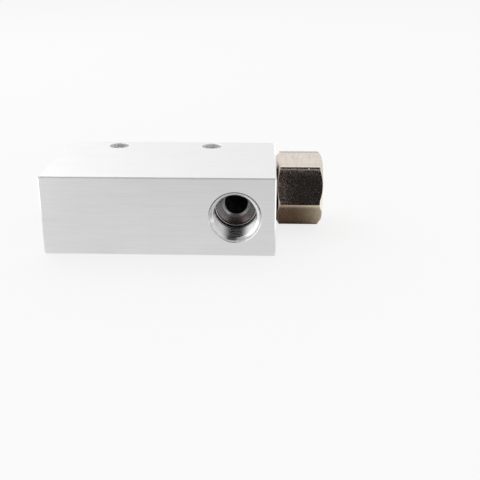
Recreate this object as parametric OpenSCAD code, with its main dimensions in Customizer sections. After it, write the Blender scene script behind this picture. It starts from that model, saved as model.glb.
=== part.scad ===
// Vacuum ejector: an aluminium block with a nozzle and a diffuser on one axis.
// Compressed air enters the hexagon holder on the right, leaves the nozzle as a
// jet, crosses the suction chamber into the diffuser and blows out on the left.
// The jet draws air in through the vacuum port on the front face.
// +X runs along the nozzle axis to the hexagon, the vacuum port faces -Y, +Z is up.

/* [Block] */
// Length of the block along the nozzle axis
block_length = 46; // [46:0.5:50]
// Depth of the block, from the vacuum port face to the back
block_depth = 28; // [28:0.5:32]
// Height of the block
block_height = 16; // [16:0.5:18]
// Flat left where each edge of the block is broken
edge_break = 0.25; // [0.1:0.05:0.4]
// Distance from the back face to the nozzle axis
axis_to_back = 8; // [8:0.1:8.5]

/* [Ports] */
// Outside diameter of the G1/8 thread cut in every port
thread_d = 9.728; // [9.7:0.001:9.75]
// Diameter of the hole drilled before a port is tapped
tap_drill_d = 8.566; // [8.5:0.001:8.8]
// Diameter of the chamfer at a port's mouth
mouth_d = 10.4; // [10.2:0.1:11]
// Distance from the right end of the block to the vacuum port
vacuum_to_end = 8; // [8:0.1:8.2]
// Depth to which the vacuum port is threaded
vacuum_thread = 6.4; // [5.5:0.1:6.6]
// Width of the relief behind the vacuum port's thread
relief_w = 0.7; // [0.5:0.1:0.9]
// Diameter of that relief
relief_d = 10.1; // [9.9:0.1:10.3]
// Diameter of the drilled bottom of the vacuum port
vacuum_pilot_d = 8.2; // [7.8:0.1:8.4]
// Length of that drilled bottom before its cone
vacuum_pilot_l = 0.9; // [0.6:0.1:1.2]
// Diameter of the passage from the vacuum port to the chamber
passage_d = 4.7; // [4.3:0.1:4.9]
// Diameter of the chamfer at the front end of the passage
passage_mouth_d = 5.7; // [5.3:0.1:5.9]
// Depth to which the exhaust port is threaded
exhaust_thread = 6.2; // [5.5:0.1:6.4]
// Depth of the exhaust port to the seat of the diffuser
exhaust_depth = 7.9; // [7.6:0.1:8]
// Depth to which the supply port is threaded
supply_thread = 7; // [6:0.1:7.2]
// Depth of the supply port to its drilled cone
supply_depth = 8; // [7.6:0.1:8.1]

/* [Mounting holes] */
// Diameter of the two through holes, for M4 screws
mount_d = 4.2; // [3.8:0.1:4.2]
// Diameter of the broken edge at each end of a through hole
mount_sink_d = 4.4; // [4.4:0.1:4.8]
// Distance between the two holes
mount_spacing = 20.5; // [20.4:0.1:20.6]
// Distance from the left end of the block to the first hole
mount_to_end = 11.6; // [11.5:0.05:11.7]
// Distance from the back face to the holes
mount_to_back = 3.5; // [3.4:0.1:3.6]

/* [Nozzle holder] */
// Width across the flats of the hexagon
hex_af = 14; // [13.9:0.05:14.1]
// Diameter across the rounded corners of the hexagon
hex_corner_d = 15.85; // [15.7:0.05:15.95]
// Length of the holder outside the block
hex_stand = 10; // [10:0.1:12]
// Turn of the hexagon once it is screwed home: at 0 a corner points to the front
hex_turn = -9.3; // [-15:0.1:-8.5]
// Slope of the turned chamfer next to the block
chamfer_in = 30; // [25:1:35]
// Slope of the turned chamfer at the free end
chamfer_out = 38; // [30:1:42]
// Diameter of both turned end faces of the hexagon
hex_face_d = 13.8; // [13.5:0.1:13.8]
// Length of the round land between the block and that chamfer
land_l = 0.35; // [0.2:0.05:0.5]
// Length of the threaded shank inside the block
shank_l = 4.75; // [4.5:0.05:4.8]

/* [Seal] */
// Diameter of the neck next to the hexagon, which holds the O-ring
neck_d = 8.5; // [8.3:0.1:8.6]
// Length of that neck
neck_l = 1.3; // [1.2:0.05:1.4]
// Section of the O-ring before it is squeezed
seal_section = 1.04; // [1.03:0.01:1.06]
// Squeeze of the O-ring against the neck and the hexagon
seal_squeeze = 0.05; // [0.04:0.01:0.06]
// Diameter of the seal chamfer cut in the block
seal_mouth_d = 11.8; // [11.7:0.05:11.8]

/* [Nozzle] */
// Diameter of the hole that makes the jet
jet_d = 1; // [0.8:0.1:1.3]
// Length of the jet hole
jet_l = 1.6; // [1.2:0.1:2]
// Diameter of the nozzle where it is pressed into the holder
nozzle_d = 5; // [4.6:0.1:5.2]
// Length pressed into the holder
nozzle_press = 5; // [4:0.1:5.2]
// Diameter of the collar that stops it
collar_d = 6.8; // [6.2:0.1:7.2]
// Thickness of the collar
collar_t = 1; // [0.8:0.1:1.1]
// Length of the tapered tip beyond the collar
tip_l = 3.6; // [3:0.1:3.7]
// Diameter of the tip at its end
tip_d = 2.2; // [2:0.1:2.6]

/* [Diffuser] */
// Outside diameter of the diffuser tube
diffuser_d = 3.6; // [3.4:0.1:3.6]
// Diameter of the narrowest part of its bore
throat_d = 1.6; // [1.4:0.1:1.8]
// Length of the narrowest part
throat_l = 5; // [4:0.5:7]
// Diameter of its mouth, which faces the nozzle
bell_d = 2.6; // [2.3:0.1:2.7]
// Length of the funnel behind the mouth
bell_l = 2.5; // [2:0.1:3.5]
// Diameter of its bore at the exhaust end
outlet_d = 2.6; // [2.2:0.1:2.7]
// Diameter of the flange that seats at the bottom of the exhaust port
flange_d = 7.2; // [6.6:0.1:7.8]
// Thickness of the flange
flange_t = 1; // [0.8:0.1:1.2]
// Distance from the tip of the nozzle to the mouth of the diffuser
jet_gap = 1.2; // [0.9:0.1:1.3]

/* [Hidden] */
$fn = 96;
over = 1;             // how far a cutter stands out of the face that it enters
thread_gap = 0.02;    // radial gap between the holder's thread and the block's
shank_bevel = 0.5;    // lead-in at the end of the shank
drill_half = 59;      // half of a twist drill's point angle

// Places along X, from the middle of the whole ejector
total_l = block_length + hex_stand;
left_x = -total_l / 2;
right_x = left_x + block_length;
hex_x = total_l / 2;
vacuum_x = right_x - vacuum_to_end;
shank_x = right_x - shank_l;
collar_x = shank_x - collar_t;
tip_x = collar_x - tip_l;
bell_x = tip_x - jet_gap;
flange_x = left_x + exhaust_depth - flange_t;
seat_x = left_x + exhaust_depth;

// Places along Y and Z
front_y = -block_depth / 2;
back_y = block_depth / 2;
axis_y = back_y - axis_to_back;
axis_z = block_height / 2;

// Suction chamber: tapped for the holder, then drilled to its cone
tapped_x = shank_x - 0.2;
chamber_x = bell_x - 0.1;
chamber_r = tap_drill_d / 2;
thread_r = thread_d / 2;
chamber_cone = (chamber_r - diffuser_d / 2) / tan(drill_half);

// Turns children from +Z to +X on the nozzle axis, so that their heights are places along X
module on_axis() translate([0, axis_y, axis_z]) rotate([0, 90, 0]) children();

// A bar with all of its edges broken by the same small flat
module broken_bar(size, flat) {
    module outline(w, h) polygon([
        [flat, 0], [w - flat, 0], [w, flat], [w, h - flat],
        [w - flat, h], [flat, h], [0, h - flat], [0, flat]
    ]);
    intersection() {
        linear_extrude(size[2]) outline(size[0], size[1]);
        translate([0, size[1], 0]) rotate([90, 0, 0])
            linear_extrude(size[1]) outline(size[0], size[2]);
        rotate([90, 0, 90]) linear_extrude(size[0]) outline(size[1], size[2]);
    }
}

// Round cutter for a port: its mouth is at z = 0 and it runs down. After the
// thread come the [radius, depth] steps, and it ends on the axis.
module port_cutter(thread_depth, steps) {
    chamfer = mouth_d / 2 - thread_r;
    last = steps[len(steps) - 1];
    rotate_extrude() polygon(concat(
        [[0, over], [mouth_d / 2, over], [mouth_d / 2, 0]],
        [[thread_r, -chamfer], [thread_r, -thread_depth]],
        [for (s = steps) [s[0], -s[1]]],
        [[0, -last[1]]]
    ));
}

// One through hole with its edges broken at both ends
module mounting_hole() {
    sink = (mount_sink_d - mount_d) / 2;
    translate([0, 0, -over]) cylinder(d = mount_d, h = block_height + 2 * over);
    for (end = [0, 1]) translate([0, 0, end * block_height]) mirror([0, 0, end])
        translate([0, 0, -sink])
            cylinder(d1 = mount_sink_d + 2 * sink, d2 = mount_d, h = 2 * sink);
}

// Bores on the nozzle axis, between the right end and the exhaust port
module chamber_cutter() {
    seal_chamfer = seal_mouth_d / 2 - thread_r;
    on_axis() rotate_extrude() polygon([
        [0, right_x + over], [seal_mouth_d / 2, right_x + over], [seal_mouth_d / 2, right_x],
        [thread_r, right_x - seal_chamfer], [thread_r, tapped_x], [chamber_r, tapped_x],
        [chamber_r, chamber_x], [diffuser_d / 2, chamber_x - chamber_cone],
        [diffuser_d / 2, seat_x - over], [0, seat_x - over]
    ]);
}

// Milled bar with three ports and two screw holes
module body() color("#cfd0d2") {
    pilot = vacuum_thread + relief_w;
    cone = pilot + vacuum_pilot_l;
    passage_mouth = cone + (vacuum_pilot_d - passage_mouth_d) / 2 / tan(drill_half);
    passage_chamfer = (passage_mouth_d - passage_d) / 2;
    difference() {
        translate([left_x, front_y, 0])
            broken_bar([block_length, block_depth, block_height], edge_break);
        translate([vacuum_x, front_y, axis_z]) rotate([90, 0, 0]) port_cutter(vacuum_thread, [
            [relief_d / 2, vacuum_thread], [relief_d / 2, pilot],
            [vacuum_pilot_d / 2, pilot], [vacuum_pilot_d / 2, cone],
            [passage_mouth_d / 2, passage_mouth], [passage_d / 2, passage_mouth + passage_chamfer],
            [passage_d / 2, axis_y - front_y]
        ]);
        translate([left_x, axis_y, axis_z]) rotate([0, -90, 0]) port_cutter(exhaust_thread, [
            [tap_drill_d / 2, exhaust_thread], [tap_drill_d / 2, exhaust_depth]
        ]);
        chamber_cutter();
        for (i = [0, 1])
            translate([left_x + mount_to_end + i * mount_spacing, back_y - mount_to_back, 0])
                mounting_hole();
    }
}

// Envelope that the lathe leaves on the hexagon: a land, and a cone at each end
module hex_envelope() {
    corner_r = hex_corner_d / 2;
    face_r = hex_face_d / 2;
    low = right_x + land_l;
    rotate_extrude() polygon([
        [0, right_x], [face_r, right_x], [face_r, low],
        [corner_r, low + (corner_r - face_r) * tan(chamfer_in)],
        [corner_r, hex_x - (corner_r - face_r) * tan(chamfer_out)], [face_r, hex_x], [0, hex_x]
    ]);
}

// Hexagon fitting that screws into the block and carries the nozzle
module nozzle_holder() color("#b3a58c") {
    shank_r = thread_r - thread_gap;
    neck_r = neck_d / 2;
    cone = (tap_drill_d - nozzle_d) / 2 / tan(drill_half);
    difference() {
        on_axis() union() {
            intersection() {
                hex_envelope();
                rotate([0, 0, 30 - hex_turn]) translate([0, 0, right_x])
                    cylinder(d = hex_af * 2 / sqrt(3), h = hex_stand, $fn = 6);
            }
            rotate_extrude() polygon([
                [0, shank_x], [shank_r - shank_bevel, shank_x], [shank_r, shank_x + shank_bevel],
                [shank_r, right_x - neck_l - (shank_r - neck_r)], [neck_r, right_x - neck_l],
                [neck_r, right_x + over], [0, right_x + over]
            ]);
        }
        translate([hex_x, axis_y, axis_z]) rotate([0, 90, 0]) port_cutter(supply_thread, [
            [tap_drill_d / 2, supply_thread], [tap_drill_d / 2, supply_depth],
            [nozzle_d / 2, supply_depth + cone], [nozzle_d / 2, hex_stand + shank_l + over]
        ]);
    }
}

// Turned nozzle, pressed into the holder up to its collar
module nozzle() color("#c9a24a") {
    inlet_r = nozzle_d / 2 - 0.6;
    root_r = nozzle_d / 2 - 0.1;
    on_axis() rotate_extrude() polygon([
        [jet_d / 2, tip_x], [tip_d / 2, tip_x], [root_r, collar_x],
        [collar_d / 2, collar_x], [collar_d / 2, shank_x], [nozzle_d / 2, shank_x],
        [nozzle_d / 2, shank_x + nozzle_press], [inlet_r, shank_x + nozzle_press],
        [inlet_r, shank_x], [jet_d / 2, tip_x + jet_l]
    ]);
}

// Turned diffuser, pressed in from the exhaust port up to its flange
module diffuser() color("#c9a24a") {
    throat_x = bell_x - bell_l;
    outer_r = diffuser_d / 2;
    on_axis() rotate_extrude() polygon([
        [outlet_d / 2, flange_x], [flange_d / 2, flange_x], [flange_d / 2, seat_x],
        [outer_r, seat_x], [outer_r, bell_x - 0.4], [outer_r - 0.25, bell_x],
        [bell_d / 2, bell_x], [throat_d / 2, throat_x], [throat_d / 2, throat_x - throat_l]
    ]);
}

// O-ring squeezed between the neck, the hexagon and the block's chamfer
module holder_o_ring() color("#232323") {
    neck_r = neck_d / 2;
    offset_in = seal_section / 2 - seal_squeeze;
    mouth_r = seal_mouth_d / 2;
    on_axis() rotate_extrude() intersection() {
        translate([neck_r + offset_in, right_x - offset_in]) circle(d = seal_section, $fn = 48);
        polygon([
            [neck_r, right_x], [mouth_r, right_x],
            [mouth_r - neck_l, right_x - neck_l], [neck_r, right_x - neck_l]
        ]);
    }
}

body();
nozzle_holder();
nozzle();
diffuser();
holder_o_ring();
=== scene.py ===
"""Looks of the vacuum ejector: a brushed aluminium block and a nickel plated hexagon."""

import math

import bpy
from mathutils import Matrix, Vector


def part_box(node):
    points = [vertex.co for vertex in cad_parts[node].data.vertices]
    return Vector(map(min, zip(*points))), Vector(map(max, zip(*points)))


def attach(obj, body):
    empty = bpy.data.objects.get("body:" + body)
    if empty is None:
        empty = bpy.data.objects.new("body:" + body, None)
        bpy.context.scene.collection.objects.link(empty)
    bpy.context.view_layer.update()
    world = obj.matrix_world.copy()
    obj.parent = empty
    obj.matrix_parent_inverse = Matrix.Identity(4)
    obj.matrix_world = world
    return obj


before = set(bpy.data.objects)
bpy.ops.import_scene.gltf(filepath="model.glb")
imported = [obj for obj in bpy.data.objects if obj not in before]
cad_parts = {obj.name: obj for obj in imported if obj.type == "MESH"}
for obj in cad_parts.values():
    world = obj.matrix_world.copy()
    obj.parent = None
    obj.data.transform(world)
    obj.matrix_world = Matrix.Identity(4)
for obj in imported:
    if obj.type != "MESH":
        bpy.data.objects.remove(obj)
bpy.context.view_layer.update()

# ---------------------------------------------------------------------------
# Milled block
# A length of drawn aluminium bar, milled square on its ends, drilled and tapped.
# It is clear anodised, so its long sides keep the fine lines of the drawing, and
# its ports are cut afterwards and stay brighter.
# ---------------------------------------------------------------------------
MM = 0.001
block_box, nozzle_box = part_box("body"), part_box("nozzle")
block_low, block_high = block_box[0] / MM, block_box[1] / MM
axis_y = (nozzle_box[0].y + nozzle_box[1].y) / 2 / MM  # of the bore along the block
axis_z = (block_box[0].z + block_box[1].z) / 2 / MM
vacuum_from_end = 8.0  # from the block's right end to the vacuum port's axis
vacuum_x = block_box[1].x / MM - vacuum_from_end
edge_flat = 0.24  # the flat on a broken edge, less a hair to spare the face beside it
port_mouth_r = 5.2  # outer edge of the chamfer at a port's mouth
# Behind the vacuum port's thread a shoulder leads to a narrower pilot bore, and its bottom
# to a passage that ends in the suction chamber.
shoulder_depth, pilot_r = 7.1, 4.1
rounded_deep, rounded_wide = 0.15, 0.14  # the shoulder's edge, down the bore and outwards
passage_r, passage_mouth_r, passage_end = 2.35, 2.85, 15.9
chamber_r = 4.3
hole_from_end, hole_from_back, hole_apart, hole_r = 11.6, 3.5, 20.5, 2.1


class Shade:
    """A shader socket. Arithmetic on it adds Math nodes, and add() makes any other node."""

    def __init__(self, tree, socket):
        self.tree, self.socket = tree, socket

    def add(self, kind, settings=None, sockets=None, out=0):
        """A new node: its settings are set first, then its sockets' values and links."""
        made = self.tree.nodes.new(kind)
        for name, value in (settings or {}).items():
            setattr(made, name, value)
        for name, value in (sockets or {}).items():
            if isinstance(value, Shade):
                self.tree.links.new(value.socket, made.inputs[name])
            else:
                made.inputs[name].default_value = value
        return Shade(self.tree, made.outputs[out])

    def math(self, operation, *values):
        return self.add("ShaderNodeMath", {"operation": operation}, dict(enumerate(values)))

    def __add__(self, other):
        return self.math("ADD", self, other)

    def __radd__(self, other):
        return self.math("ADD", other, self)

    def __sub__(self, other):
        return self.math("SUBTRACT", self, other)

    def __rsub__(self, other):
        return self.math("SUBTRACT", other, self)

    def __mul__(self, other):
        return self.math("MULTIPLY", self, other)

    def __rmul__(self, other):
        return self.math("MULTIPLY", other, self)

    def __truediv__(self, other):
        return self.math("DIVIDE", self, other)

    def __pow__(self, other):
        return self.math("POWER", self, other)

    def __and__(self, other):
        """The lesser of the two: where both masks are 1."""
        return self.math("MINIMUM", self, other)

    def __or__(self, other):
        """The greater of the two: where either mask is 1."""
        return self.math("MAXIMUM", self, other)

    def absolute(self):
        return self.math("ABSOLUTE", self)

    def step(self, low, high):
        """0 below low, 1 above high, and smooth between them."""
        settings = {"interpolation_type": "SMOOTHSTEP"}
        sockets = {"Value": self, "From Min": low, "From Max": high}
        return self.add("ShaderNodeMapRange", settings, sockets)

    def until(self, low, high):
        """1 below low, 0 above high, and smooth between them."""
        return 1 - self.step(low, high)

    def band(self, low, high, soft):
        """1 between low and high, fading out over soft."""
        return self.step(low - soft, low) & self.until(high, high + soft)

    def blend(self, first, second):
        """Value first where this is 0 and second where it is 1."""
        return first * (1 - self) + second * self

    def mix(self, first, second):
        """Colour first where this is 0 and second where it is 1."""
        sockets = {"Factor": self, 6: first, 7: second}
        return self.add("ShaderNodeMix", {"data_type": "RGBA"}, sockets, out=2)


def new_material(name):
    """A material, its shader node, and the object's coordinates in mm: x, y, z and a vector."""
    material = bpy.data.materials.new(name)
    material.use_nodes = True
    tree = material.node_tree
    place = Shade(tree, None).add("ShaderNodeTexCoord", out=3)
    scaled = place.add("ShaderNodeVectorMath", {"operation": "SCALE"}, {0: place, "Scale": 1 / MM})
    split = tree.nodes.new("ShaderNodeSeparateXYZ")
    tree.links.new(scaled.socket, split.inputs[0])
    x, y, z = [Shade(tree, socket) for socket in split.outputs]
    return material, tree.nodes["Principled BSDF"], (x, y, z, scaled)


def finish_material(
    material, shader, colour, roughness, height, bump_mm, metallic=1.0, normal=None
):
    """Wires a finish: height is in 0..1, and stands for bump_mm of relief on the normal."""
    sockets = {"Strength": 1.0, "Distance": bump_mm * MM, "Height": height}
    if normal is not None:
        sockets["Normal"] = normal
    bump = colour.add("ShaderNodeBump", None, sockets)
    links = material.node_tree.links
    links.new(colour.socket, shader.inputs["Base Color"])
    links.new(roughness.socket, shader.inputs["Roughness"])
    links.new(bump.socket, shader.inputs["Normal"])
    if isinstance(metallic, Shade):
        links.new(metallic.socket, shader.inputs["Metallic"])
    else:
        shader.inputs["Metallic"].default_value = metallic
    return material


def noise(place, scale, detail=3.0, roughness=0.5, stretch=(1, 1, 1)):
    """Noise with one cell per 1/scale mm, drawn out along the axes whose factor is small."""
    mapped = place.add("ShaderNodeMapping", None, {"Vector": place, "Scale": stretch})
    sockets = {"Vector": mapped, "Scale": scale, "Detail": detail, "Roughness": roughness}
    return mapped.add("ShaderNodeTexNoise", None, sockets)


def turned_normal(mask, along_x, along_y, along_z):
    """The surface's own normal where mask is 0, and the given one where it is 1."""
    own = mask.add("ShaderNodeNewGeometry", out=1)
    given = mask.add("ShaderNodeCombineXYZ", None, {0: along_x, 1: along_y, 2: along_z})
    sockets = {0: mask, 4: own, 5: given}
    return mask.add("ShaderNodeMix", {"data_type": "VECTOR"}, sockets, out=1)


def distance_from_line(first, second, centre):
    """Distance from a line that crosses the two coordinates' plane at centre."""
    a, b = first - centre[0], second - centre[1]
    return (a * a + b * b) ** 0.5


def hole_distance(x, y, index):
    """Distance from the axis of one of the two screw holes."""
    hole_x = block_low.x + hole_from_end + hole_apart * index
    return distance_from_line(x, y, (hole_x, block_high.y - hole_from_back))


def inside_port(from_line):
    """1 inside a port's mouth, by the distance from the port's axis."""
    return from_line.until(port_mouth_r + 0.02, port_mouth_r + 0.08)


def satin_aluminium():
    material, shader, (x, y, z, place) = new_material("satin_aluminium")

    # How far a point lies past the inner line of the flat that breaks an edge, on each axis.
    middle, half = (block_low + block_high) / 2, (block_high - block_low) / 2
    past_x = (x - middle.x).absolute() - (half.x - edge_flat)
    past_y = (y - middle.y).absolute() - (half.y - edge_flat)
    past_z = (z - middle.z).absolute() - (half.z - edge_flat)
    broken_edge = ((past_x & past_y) | (past_y & past_z) | (past_x & past_z)).step(0.0, 0.01)
    # The upright edges are painted pale, as a highlight.
    upright_edge_highlight = (past_x & past_y).step(0.0, 0.01)
    end_face = past_x.step(0.1, 0.2)

    # The ports are known by their distance from the two axes, and by their depth.
    from_vacuum = distance_from_line(x, z, (vacuum_x, axis_z))
    from_axis = distance_from_line(y, z, (axis_y, axis_z))
    depth, right_by, below = y - block_low.y, x - vacuum_x, axis_z - z
    vacuum_port = inside_port(from_vacuum) & depth.until(passage_end, passage_end + 0.1)
    cut = vacuum_port | inside_port(from_axis)

    # The chamfer of the vacuum port is painted pale as a highlight, and rough with burr, in a thin
    # ring and over its upper half, where a painted shadow line runs round the rim. Its lower right
    # carries a painted highlight, duller inwards.
    on_chamfer = (depth + from_vacuum).until(port_mouth_r + 0.04, port_mouth_r + 0.07)
    on_chamfer = vacuum_port & on_chamfer
    upper = below.until(-2.4, 0.0)
    rim_shade = on_chamfer & from_vacuum.step(4.98, 5.04) & upper
    upper_lip_highlight = on_chamfer & from_vacuum.band(4.20, 4.95, 0.03) & upper
    burr_and_highlight = (on_chamfer & from_vacuum.band(4.86, 5.06, 0.03) & (1 - rim_shade)) | upper_lip_highlight
    lower_lip_highlight = on_chamfer & right_by.step(-0.3, 1.2) & below.step(1.0, 2.5)
    dull_lip = lower_lip_highlight & right_by.until(1.0, 2.2)

    # The shoulder has a bright edge round the pilot bore, and the passage a bright chamfer;
    # both are painted pale as highlights.
    bottom = vacuum_port & depth.step(shoulder_depth - 0.02, shoulder_depth + 0.02)
    passage_edge = bottom & from_vacuum.band(passage_r + 0.05, passage_mouth_r - 0.01, 0.02)
    pilot_edge = depth.band(shoulder_depth - 0.02, shoulder_depth + rounded_deep, 0.01)
    pilot_edge = pilot_edge & from_vacuum.until(
        pilot_r + rounded_wide, pilot_r + rounded_wide + 0.01
    )
    bright_edge = passage_edge | (vacuum_port & pilot_edge)

    # The last turns deep in the port, and the first groove on the port's lower side, are darkened
    # with painted shade.
    last_turns = vacuum_port & depth.step(5.0, 6.3) & (1 - bottom)
    first_groove = vacuum_port & depth.band(0.42, 0.80, 0.08) & below.step(3.6, 4.0)
    first_groove = first_groove & right_by.band(-1.2, 1.4, 0.6)
    thread_shade = last_turns * 0.85 | first_groove * 0.8

    # Little light comes back out of the passage and the chamber. The passage's mask ends
    # short of the block's back face.
    passage = from_vacuum.until(passage_r + 0.02, passage_r + 0.07)
    passage = passage * depth.step(9.2, 9.6) * depth.until(25.0, 25.5)
    unlit = passage | (from_axis.until(chamber_r, chamber_r + 0.1) & x.step(3.0, 5.0))
    from_hole = hole_distance(x, y, 0) & hole_distance(x, y, 1)
    screw_hole = from_hole.until(hole_r + 0.02, hole_r + 0.06)

    # Drawing leaves lines along the bar, milling across its ends, and the tools rings in
    # the ports.
    drawn = noise(place, 7.0, 4.0, 0.6, (0.02, 1, 1))
    streak = noise(place, 3.4, 3.0, 0.6, (0.03, 1, 1))
    broad = noise(place, 1.2, 2.0, 0.5, (0.03, 1, 1))
    cloud = noise(place, 0.12, 3.0, 0.5)
    milled = noise(place, 7.0, 3.0, 0.6, (1, 0.03, 1))
    turned = noise(place, 14.0, 2.0, 0.5, (0.01, 1, 0.01))
    lines = cut.blend(end_face.blend(drawn, milled), turned)
    tone = 0.5 + (streak - 0.5) * 1.1 + (broad - 0.5) * 0.25
    tone = tone + (drawn - 0.5) * 0.8 + (cloud - 0.5) * 0.5

    # Each colour, and then each roughness, lies over those before it.
    colour = tone.mix((0.79, 0.785, 0.80, 1), (0.87, 0.865, 0.875, 1))
    # The cut metal in the ports is painted brighter towards the hexagon, as the lit side.
    cut_with_painted_light = right_by.step(-4.0, 2.4).mix((0.68, 0.68, 0.69, 1), (0.93, 0.93, 0.94, 1))
    # The bottom of the pilot bore is painted darker and browner lower down, as shade.
    bottom_painted_shade = below.step(0.5, 3.2).mix((0.52, 0.50, 0.50, 1), (0.36, 0.29, 0.28, 1))
    for where, tint in (
        (cut, cut_with_painted_light),
        (thread_shade, (0.20, 0.19, 0.20, 1)),
        (bottom, bottom_painted_shade),
        (bright_edge | burr_and_highlight, (0.93, 0.93, 0.93, 1)),
        (lower_lip_highlight, (0.98, 0.98, 0.98, 1)),
        (rim_shade * 0.85, (0.30, 0.30, 0.31, 1)),
        (screw_hole, (0.95, 0.95, 0.95, 1)),
        (unlit, (0.45, 0.45, 0.46, 1)),
        (upright_edge_highlight, (0.97, 0.97, 0.97, 1)),
    ):
        colour = where.mix(colour, tint)
    roughness = 0.40 + (broad - 0.5) * 0.12
    for where, value in (
        (cut, 0.19),
        (broken_edge, 0.28),
        (screw_hole, 0.75),
        (bright_edge, 0.22),
        (dull_lip, 0.42),
        (burr_and_highlight, 0.60),
        (unlit, 0.55),
    ):
        roughness = where.blend(roughness, value)
    # A burr scatters light, and mirrors less than the cut metal does.
    metallic = 1 - burr_and_highlight * 0.5 - upper_lip_highlight * 0.4

    # The two bright edges are rounded: there the normal leans towards the port's axis.
    on_wall = depth.step(shoulder_depth, shoulder_depth + rounded_deep)
    on_shoulder = from_vacuum.step(pilot_r, pilot_r + rounded_wide)
    lean = math.radians(45) * (1.0 + on_wall - on_shoulder)
    lean = passage_edge.blend(lean, math.radians(28))
    inward = lean.math("SINE", lean) / from_vacuum
    outward = lean.math("COSINE", lean)
    normal = turned_normal(bright_edge, inward * (vacuum_x - x), 0 - outward, inward * below)
    return finish_material(material, shader, colour, roughness, lines, 0.004, metallic, normal)


def coat(node, material):
    """Gives a CAD node this material alone."""
    node.data.materials.clear()
    node.data.materials.append(material)


body_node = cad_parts["body"]
satin = satin_aluminium()
coat(body_node, satin)

# ---------------------------------------------------------------------------
# Threads of the vacuum and exhaust ports
# G1/8 pipe thread, 28 turns to the inch, cut into the block with a tap. The ridge
# is one long helix. Its first turn is cut off by the chamfer at the port's mouth.
# ---------------------------------------------------------------------------
vacuum_mouth = (vacuum_x, block_low.y, axis_z)
exhaust_mouth = (block_low.x, axis_y, axis_z)
thread_pitch = 25.4 / 28 * MM
thread_root_r = 9.728 / 2 * MM
thread_crest_r = 8.566 / 2 * MM
ridge_sunk = 0.04 * MM  # how deep the ridge's foot stands in the port's wall
foot_share, crest_share = 0.90, 0.16  # the foot's width over the pitch, the crest's over the foot's
crest_bevel = 0.05 * MM
spare_turns = 3
steps_per_turn = 72
cone_steps = 144


def deselect_all():
    if bpy.context.object is not None and bpy.context.object.mode != "OBJECT":
        bpy.ops.object.mode_set(mode="OBJECT")
    bpy.ops.object.select_all(action="DESELECT")


def apply_modifiers(piece):
    bpy.context.view_layer.objects.active = piece
    for modifier in list(piece.modifiers):
        bpy.ops.object.modifier_apply(modifier=modifier.name)


def port_thread(name, mouth, outward, depth, material):
    """A right-handed ridge that runs from the mouth of a port to depth, as one closed piece."""
    height = thread_root_r + ridge_sunk - thread_crest_r
    middle = thread_crest_r + height / 2

    # A square stood in the XZ plane is the section. Its inner side is narrowed to the crest.
    deselect_all()
    bpy.ops.mesh.primitive_plane_add(
        size=1, location=(middle, 0, thread_pitch), rotation=(math.pi / 2, 0, 0)
    )
    ridge = bpy.context.object
    ridge.name = name
    ridge.scale = (height, thread_pitch * foot_share, 1)
    bpy.ops.object.transform_apply(location=True, rotation=True, scale=True)
    bpy.ops.object.mode_set(mode="EDIT")
    bpy.ops.mesh.select_mode(type="VERT")
    bpy.ops.mesh.select_all(action="DESELECT")
    bpy.ops.object.mode_set(mode="OBJECT")
    for vertex in ridge.data.vertices:
        vertex.select = vertex.co.x < middle
    bpy.ops.object.mode_set(mode="EDIT")
    bpy.ops.transform.resize(
        value=(1, 1, crest_share), center_override=(middle, 0, thread_pitch)
    )
    bpy.ops.mesh.bevel(affect="VERTICES", offset=crest_bevel, segments=2)
    bpy.ops.mesh.select_all(action="SELECT")
    bpy.ops.mesh.delete(type="ONLY_FACE")
    bpy.ops.object.mode_set(mode="OBJECT")

    # The outline is swept along the helix, from above the mouth to past the thread's end.
    screw = ridge.modifiers.new("Screw", "SCREW")
    screw.axis = "Z"
    screw.iterations = math.ceil(depth / thread_pitch) + spare_turns
    screw.angle = math.tau
    screw.screw_offset = -thread_pitch
    screw.steps = screw.render_steps = steps_per_turn
    screw.use_merge_vertices = False
    apply_modifiers(ridge)
    bpy.ops.object.mode_set(mode="EDIT")
    bpy.ops.mesh.select_all(action="SELECT")
    bpy.ops.mesh.remove_doubles(threshold=0.0005 * MM)
    bpy.ops.mesh.fill_holes(sides=0)
    bpy.ops.mesh.normals_make_consistent(inside=False)

    # The ridge is cut off at the mouth's plane and at the depth of the thread.
    for height_z, side in ((0.0, 1), (-depth, -1)):
        bpy.ops.mesh.select_all(action="SELECT")
        bpy.ops.mesh.bisect(
            plane_co=(0, 0, height_z), plane_no=(0, 0, side), use_fill=True, clear_outer=True,
            threshold=1e-7,
        )
    bpy.ops.object.mode_set(mode="OBJECT")

    # The mouth's chamfer is a 45 degree cone, which takes the crests off the first turn.
    deselect_all()
    proud = 1 * MM
    mouth_r = port_mouth_r * MM
    bpy.ops.mesh.primitive_cone_add(
        vertices=cone_steps, radius1=0, radius2=mouth_r + proud, depth=mouth_r + proud,
        location=(0, 0, (proud - mouth_r) / 2),
    )
    cone = bpy.context.object
    chamfer = ridge.modifiers.new("Chamfer", "BOOLEAN")
    chamfer.operation, chamfer.object, chamfer.solver = "DIFFERENCE", cone, "EXACT"
    deselect_all()
    apply_modifiers(ridge)
    bpy.data.objects.remove(cone)

    ridge.rotation_euler = outward.to_track_quat("Z", "Y").to_euler()
    ridge.location = [along * MM for along in mouth]
    ridge.select_set(True)
    bpy.ops.object.transform_apply(location=True, rotation=True, scale=True)
    bpy.ops.object.shade_smooth_by_angle(angle=math.radians(25))
    ridge.data.materials.append(material)
    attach(ridge, "root")
    return ridge


vacuum_thread = port_thread(
    "vacuum_port_thread", vacuum_mouth, Vector((0, -1, 0)), depth=6.4 * MM, material=satin
)
exhaust_thread = port_thread(
    "exhaust_port_thread", exhaust_mouth, Vector((-1, 0, 0)), depth=6.2 * MM, material=satin
)
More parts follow.
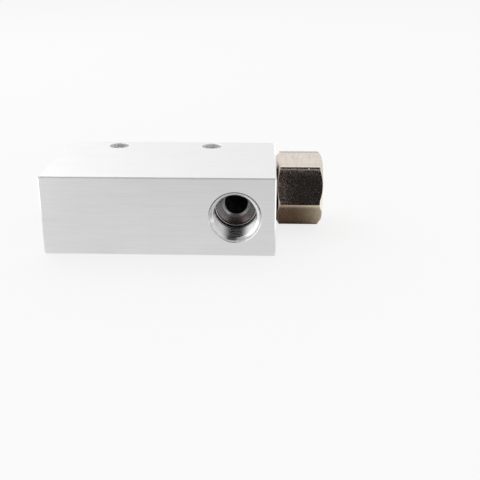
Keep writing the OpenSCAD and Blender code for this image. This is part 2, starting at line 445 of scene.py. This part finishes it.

# ---------------------------------------------------------------------------
# Nozzle holder
# Turned from hexagon brass bar and nickel plated. The drawn flats mirror the room,
# and the turned chamfers at both ends catch the light as thin bright arcs; at the block the
# arcs are painted highlights.
# ---------------------------------------------------------------------------
holder_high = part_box("nozzle_holder")[1] / MM
hex_length = holder_high.x - block_high.x
hex_face_r, hex_land = 6.9, 0.35  # end face at the block, and length of the round land there
cone_slope = math.tan(math.radians(60))  # radius over length of the turned cone after the land
front_flat = 150 + 9.3  # degrees from +Y that the front flat faces, with the holder screwed home
strips_low_by = 0.9  # degrees by which the highlight strips lie below the corners
nick_x, nick_long, nick_crown, nick_high = 25.0, 0.15, 27.6, 1.1  # along X in mm, up in degrees


def nickel_plate():
    material, shader, (x, y, z, place) = new_material("nickel_plate")
    from_axis = distance_from_line(y, z, (axis_y, axis_z))
    above = z - axis_z
    along = (x - block_high.x) / hex_length

    # At the block a turned cone leaves a gap behind it, painted dark as shade, and a bright arc on
    # each flat, painted as a highlight. The arcs are widest near the corners, and at the top the
    # gap is painted light, where light falls into it.
    over_cone = from_axis - hex_face_r - (x - block_high.x - hex_land) * cone_slope
    at_block = along.until(0.12, 0.16)
    gap_shade = over_cone.step(-0.05, -0.03) * at_block
    arc_highlight = over_cone.band(-0.22, -0.06, 0.02) * at_block
    cone_rim = gap_shade & from_axis.step(7.44, 7.52)
    lit_gap = cone_rim | (gap_shade & above.step(5.4, 6.2))

    # The neighbours of every second flat carry a painted highlight along the edge that they share.
    # There the normal stands half way between the two flats, and turns slowly to the neighbour's.
    angle = above.math("ARCTAN2", above, y - axis_y) * math.degrees(1)
    from_flat = angle.math("WRAP", angle - front_flat - strips_low_by, 60.0, -60.0)
    off_flat = from_flat.absolute()
    past_corner = off_flat.step(29.9, 30.1)
    corner_highlight_strip = past_corner * off_flat.until(33.3, 33.7) * from_axis.step(7.6, 7.7)
    turned_by = (past_corner + off_flat.step(33.2, 39.5)) * 30.0
    # On its upper side the flat itself is rounded further in, up to a thin sharp line.
    crown = 0 - from_flat
    rounding = crown.step(24.8, 25.8) * 4.2 + crown.step(10.0, 24.0) * 18.0
    rounding = rounding * crown.until(27.6, 28.4) * (1 - past_corner)
    turned_by = (turned_by | rounding) * from_flat.math("SIGN", from_flat)
    facing = (angle - from_flat - strips_low_by + turned_by) * math.radians(1)
    on_flats = from_axis.step(hex_face_r, hex_face_r + 0.05)
    on_flats = on_flats * along.step(0.095, 0.100) * along.until(0.935, 0.940)
    normal = turned_normal(
        on_flats, 0.0, facing.math("COSINE", facing), facing.math("SINE", facing)
    )

    # One knock on the front flat's upper edge has left a small nick, painted bright as a highlight.
    nick = distance_from_line(
        (x - nick_x) / nick_long, (crown - nick_crown) / nick_high, (0.0, 0.0)
    ).until(0.8, 1.2)
    nick = nick * above.step(4.0, 4.5) * (axis_y - y).step(1.0, 2.0)
    # The cone's rim, the arcs' outer parts and the nick are painted near white as highlights.
    painted_highlights = (arc_highlight * from_axis.step(7.15, 7.40)) | cone_rim | nick

    # The flats keep lines from drawing, finer ones across them, and pits in the plating.
    # The pits grow fewer away from the block, and least so on the upper side.
    drawn = noise(place, 5.0, 3.0, 0.6, (0.06, 1, 1))
    cross = noise(place, 2.6, 2.0, 0.5, (1, 0.12, 0.12))
    grain = noise(place, 3.0, 4.0, 0.65)
    stain = noise(place, 0.35, 2.0, 0.5)
    fewer = along.step(0.0, 0.55) * (1 - crown.step(6.0, 22.0) * 0.45)
    pits = noise(place, 6.5, 2.0, 0.5).step(0.50, 0.68) * (1.95 - 1.15 * fewer)
    tone = 0.5 + (stain - 0.5) * 0.8 + (drawn - 0.5) * 0.3 + (cross - 0.5) * 1.8

    colour = tone.mix((0.62, 0.565, 0.49, 1), (0.755, 0.73, 0.68, 1))
    for where, tint in (
        (pits * 0.6, (0.86, 0.58, 0.54, 1)),
        (arc_highlight | corner_highlight_strip, (0.84, 0.79, 0.70, 1)),
        (gap_shade, (0.16, 0.11, 0.09, 1)),
        (lit_gap, (0.90, 0.86, 0.80, 1)),
        (painted_highlights, (0.97, 0.94, 0.89, 1)),
    ):
        colour = where.mix(colour, tint)
    roughness = 0.16 + (grain - 0.5) * 0.10 + pits * 0.155 + inside_port(from_axis) * 0.06
    roughness = roughness + (arc_highlight | lit_gap | nick) * 0.40 + corner_highlight_strip * 0.10
    metallic = 1 - painted_highlights * 0.75
    height = drawn * 0.4 + grain * 0.4 + cross * 0.2
    return finish_material(material, shader, colour, roughness, height, 0.003, metallic, normal)


holder_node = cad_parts["nozzle_holder"]
nickel = nickel_plate()
coat(holder_node, nickel)

supply_mouth = (holder_high.x, axis_y, axis_z)
supply_thread = port_thread(
    "supply_port_thread", supply_mouth, Vector((1, 0, 0)), depth=7.0 * MM, material=nickel
)

# ---------------------------------------------------------------------------
# Nozzle and diffuser
# Both are turned from brass rod and pressed in: the nozzle into its holder, and the
# diffuser into the block from the exhaust port. Their faces show the lathe's rings.
# ---------------------------------------------------------------------------
chamber_low_x, chamber_high_x = 5.4, 12.1  # what stands between these is in the chamber


def turned_brass():
    material, shader, (x, y, z, place) = new_material("turned_brass")
    feed = distance_from_line(y, z, (axis_y, axis_z)) * 60.0
    rings = feed.math("SINE", feed) * 0.5 + 0.5
    along = noise(place, 12.0, 2.0, 0.5, (1, 0.02, 0.02))
    stain = noise(place, 0.8, 3.0, 0.5)
    colour = stain.mix((0.70, 0.50, 0.22, 1), (0.82, 0.64, 0.34, 1))
    # The suction chamber gets hardly any light, so the brass in it is painted dark as shade.
    in_chamber = x.band(chamber_low_x, chamber_high_x, 0.1)
    colour = in_chamber.mix(colour, (0.30, 0.26, 0.22, 1))
    roughness = 0.26 + (stain - 0.5) * 0.12
    return finish_material(material, shader, colour, roughness, rings * 0.5 + along * 0.5, 0.002)


brass = turned_brass()
for name in ("nozzle", "diffuser"):
    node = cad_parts[name]
    coat(node, brass)

# ---------------------------------------------------------------------------
# Holder seal
# A black nitrile O-ring on the holder's neck. It sits in a chamfer of the block,
# where the end face of the hexagon squeezes it and hides it.
# ---------------------------------------------------------------------------


def seal_rubber():
    material, shader, (x, y, z, place) = new_material("seal_rubber")
    bloom = noise(place, 2.0, 4.0, 0.6)
    colour = bloom.mix((0.018, 0.018, 0.019, 1), (0.04, 0.04, 0.041, 1))
    roughness = 0.55 + (bloom - 0.5) * 0.2
    return finish_material(material, shader, colour, roughness, bloom, 0.004, metallic=0.0)


seal_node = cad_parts["holder_o_ring"]
coat(seal_node, seal_rubber())

# ---------------------------------------------------------------------------
# Studio
# A pale table under soft light. The room behind the camera is dark, and its
# reflection is what blackens the front flat of the hexagon.
# ---------------------------------------------------------------------------
bpy.ops.object.select_all(action="DESELECT")
bpy.ops.mesh.primitive_plane_add(size=4, location=(0, 0, -0.02 * MM))
table = bpy.context.object
table.name = "table_top"

# The camera sees the table nearly white, with the ejector's shadow on it. Metal mirrors it
# bright in front of the block and far out to both sides, and duller between: below the
# hexagon the mirrored table is painted brown, a painted reflection of a second ejector in shade.
table_material, table_shader, (x, y, z, place) = new_material("table_top")
table_shader.inputs["Roughness"].default_value = 0.9
table_shader.inputs["Specular IOR Level"].default_value = 0.0
seen = place.add("ShaderNodeLightPath", out=0)
mirrored = place.add("ShaderNodeLightPath", out=3)
beside = (x + 10.0).absolute().step(40.0, 46.0)
clear = y.until(-13.7, -13.5) | beside
below_hexagon = mirrored * (1 - clear) * x.step(14.0, 18.0)
mirrored_shade = x.step(22.0, 29.5).mix((0.45, 0.345, 0.275, 1), (0.99, 0.95, 0.79, 1))
table_colour = below_hexagon.mix((0.86, 0.86, 0.86, 1), mirrored_shade)
level = 0.972 + y * 0.00195 - x * 0.0018 + beside * 0.55
glow_sockets = {"Color": (1, 1, 1, 1), "Strength": seen | level * (1 - seen)}
glow = place.add("ShaderNodeEmission", None, glow_sockets)
paint = Shade(place.tree, table_shader.outputs[0])
lit_sockets = {0: seen * 0.8 | mirrored * clear * 0.85, 1: paint, 2: glow}
lit_table = place.add("ShaderNodeMixShader", None, lit_sockets)
table_tree = table_material.node_tree
table_tree.links.new(table_colour.socket, table_shader.inputs["Base Color"])
table_tree.links.new(lit_table.socket, table_tree.nodes["Material Output"].inputs["Surface"])
table.data.materials.append(table_material)

# The walls are pale, and a little duller on the right. The camera sees plain white.
world = bpy.data.worlds.new("studio")
bpy.context.scene.world = world
world.use_nodes = True
sky = world.node_tree
direction = Shade(sky, None).add("ShaderNodeTexCoord")
towards = sky.nodes.new("ShaderNodeSeparateXYZ")
sky.links.new(direction.socket, towards.inputs[0])
right, back, up = [Shade(sky, socket) for socket in towards.outputs]
dark_room = right.absolute().until(0.26, 0.74) * back.until(-0.38, -0.20) * up.step(0.0, 0.12)
walls = right.step(-0.7, 0.5).mix((1.10, 1.095, 1.085, 1), (0.93, 0.925, 0.915, 1))
room = dark_room.mix(walls, (0.0162, 0.0148, 0.0142, 1))
camera_ray = direction.add("ShaderNodeLightPath", out=0)
shown = camera_ray.mix(room, (1, 1, 1, 1))
background = sky.nodes["Background"]
sky.links.new(shown.socket, background.inputs["Color"])
background.inputs["Strength"].default_value = 1.0

# One large soft lamp stands high on the left, behind the block, and points at it.
soft_box = bpy.data.lights.new("soft_box", "AREA")
soft_box.shape, soft_box.size, soft_box.size_y = "RECTANGLE", 0.3, 0.3
soft_box.energy = 0.4
soft_box_object = bpy.data.objects.new("soft_box", soft_box)
bpy.context.scene.collection.objects.link(soft_box_object)
lamp_place = Vector((-0.25, 0.25, 0.35))
soft_box_object.location = lamp_place
soft_box_object.rotation_euler = (-lamp_place).to_track_quat("-Z", "Y").to_euler()

# Camera: a short telephoto, held above the front of the block and level.
camera = bpy.data.cameras.new("camera")
camera.sensor_width = 36
camera.lens = 57.132
camera.clip_start, camera.clip_end = 0.01, 10
camera_object = bpy.data.objects.new("camera", camera)
bpy.context.scene.collection.objects.link(camera_object)
camera_place = Vector((15.15, -153.24, 57.96)) * MM
tilt, heading, roll = math.radians(21.382), math.radians(1.703), math.radians(-0.019)
camera_object.matrix_world = (
    Matrix.Translation(camera_place)
    @ Matrix.Rotation(heading, 4, "Z")
    @ Matrix.Rotation(math.pi / 2 - tilt, 4, "X")
    @ Matrix.Rotation(roll, 4, "Z")
)
bpy.context.scene.camera = camera_object

bpy.context.scene.view_settings.view_transform = "Standard"
